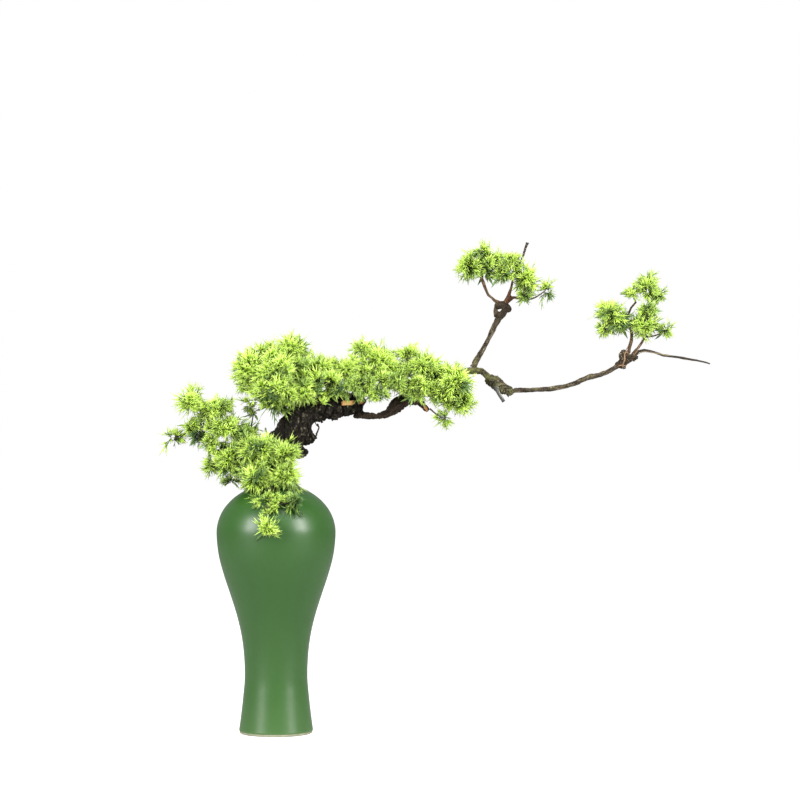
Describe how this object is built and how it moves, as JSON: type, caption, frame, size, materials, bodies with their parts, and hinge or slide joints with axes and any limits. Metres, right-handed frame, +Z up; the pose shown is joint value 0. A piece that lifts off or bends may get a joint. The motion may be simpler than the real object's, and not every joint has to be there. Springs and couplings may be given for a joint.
{
  "type": "artificial tabletop tree",
  "caption": "Tall shouldered glazed vase holding a gnarled leaning trunk with long thin branches and bright green needle sprays.",
  "frame": {"origin": "centre of the vase's flat underside, on its vertical axis", "axes": "+Z up along the vase's axis, +X along the long branch towards its tip, -Y is the front"},
  "size_m": [0.6432, 0.1595, 0.5776],
  "materials": {
    "glaze": "satin",
    "plaster": "matte",
    "foam": "matte",
    "spike": "matte",
    "bark": "matte",
    "branch": "matte",
    "twig": "matte",
    "needles": "satin"
  },
  "bodies": {
    "vase": {"vase_body": "glaze", "ballast": "plaster"},
    "bung": {"foam_bung": "foam"},
    "trunk": {"trunk": "bark", "trunk_spike": "spike", "tendril": "twig", "left_stem": "bark", "bough": "bark", "fork_limb": "branch", "binding_knot": "branch", "cut_peg": "branch", "spray_collar_left": "needles", "spray_left_wisp": "needles", "spray_left_low": "needles", "spray_front_left": "needles", "spray_front_right": "needles", "spray_neck_front": "needles", "spray_back_low": "needles", "spray_crown_left": "needles", "spray_crown_top_left": "needles", "spray_crown_top": "needles", "spray_crown_mid": "needles", "spray_crown_back": "needles", "spray_crown_low": "needles", "spray_crown_right": "needles", "spray_loose": "needles", "spray_bough_left": "needles", "spray_bough_peak": "needles", "spray_bough_top": "needles", "spray_bough_front": "needles", "spray_bough_mid": "needles", "spray_bough_peak_right": "needles", "spray_bough_right": "needles", "spray_end": "needles", "spray_end_low": "needles", "spray_end_droop": "needles"},
    "left_arm": {"left_arm_stem": "bark", "spray_arm_tip": "needles", "spray_arm_mid": "needles", "spray_arm_wisp": "needles"},
    "droop": {"spray_droop": "needles"},
    "upper_branch": {"upper_branch": "branch", "crown_knot": "branch", "twig_top_mid": "twig", "bud_twig": "bark", "spray_top_mid": "needles"},
    "top_left": {"twig_top_left": "twig", "spray_top_left": "needles", "spray_top_peak": "needles"},
    "top_right": {"twig_top_right": "twig", "spray_top_right": "needles", "spray_top_far": "needles"},
    "long_branch": {"long_branch": "branch", "tip_knot": "branch", "tail_twig": "twig"},
    "tip_left": {"twig_tip_left": "twig", "spray_tip_left": "needles", "spray_tip_peak": "needles"},
    "tip_right": {"twig_tip_right": "twig", "spray_tip_right": "needles"}
  },
  "joints": [
    {"name": "tree_lift", "type": "slide", "parent": "vase", "child": "bung", "axis": [0, 0, 1], "range_m": [0, 0.12]},
    {"name": "tree_turn", "type": "hinge", "parent": "bung", "child": "trunk", "pos_m": [0, 0, 0.3], "axis": [0, 0, 1], "continuous": true},
    {"name": "left_arm_bend", "type": "hinge", "parent": "trunk", "child": "left_arm", "pos_m": [-0.04, -0.006, 0.348], "axis": [0, 1, 0], "range_deg": [0, 10]},
    {"name": "droop_swing", "type": "hinge", "parent": "trunk", "child": "droop", "pos_m": [0.0005, -0.0656, 0.2653], "axis": [-1, 0, 0], "range_deg": [0, 20]},
    {"name": "upper_branch_bend", "type": "hinge", "parent": "trunk", "child": "upper_branch", "pos_m": [0.233, 0.008, 0.43], "axis": [0, 1, 0], "range_deg": [-8, 8]},
    {"name": "top_left_bend", "type": "hinge", "parent": "upper_branch", "child": "top_left", "pos_m": [0.262, 0.01, 0.505], "axis": [0, -1, 0], "range_deg": [0, 8]},
    {"name": "top_right_bend", "type": "hinge", "parent": "upper_branch", "child": "top_right", "pos_m": [0.274, 0.01, 0.507], "axis": [0, 1, 0], "range_deg": [0, 8]},
    {"name": "long_branch_bend", "type": "hinge", "parent": "trunk", "child": "long_branch", "pos_m": [0.281, 0.006, 0.403], "axis": [0, -1, 0], "range_deg": [-8, 8]},
    {"name": "tip_left_bend", "type": "hinge", "parent": "long_branch", "child": "tip_left", "pos_m": [0.415, 0, 0.451], "axis": [0, -1, 0], "range_deg": [0, 8]},
    {"name": "tip_right_bend", "type": "hinge", "parent": "long_branch", "child": "tip_right", "pos_m": [0.424, 0.001, 0.449], "axis": [0, 1, 0], "range_deg": [0, 8]}
  ]
}
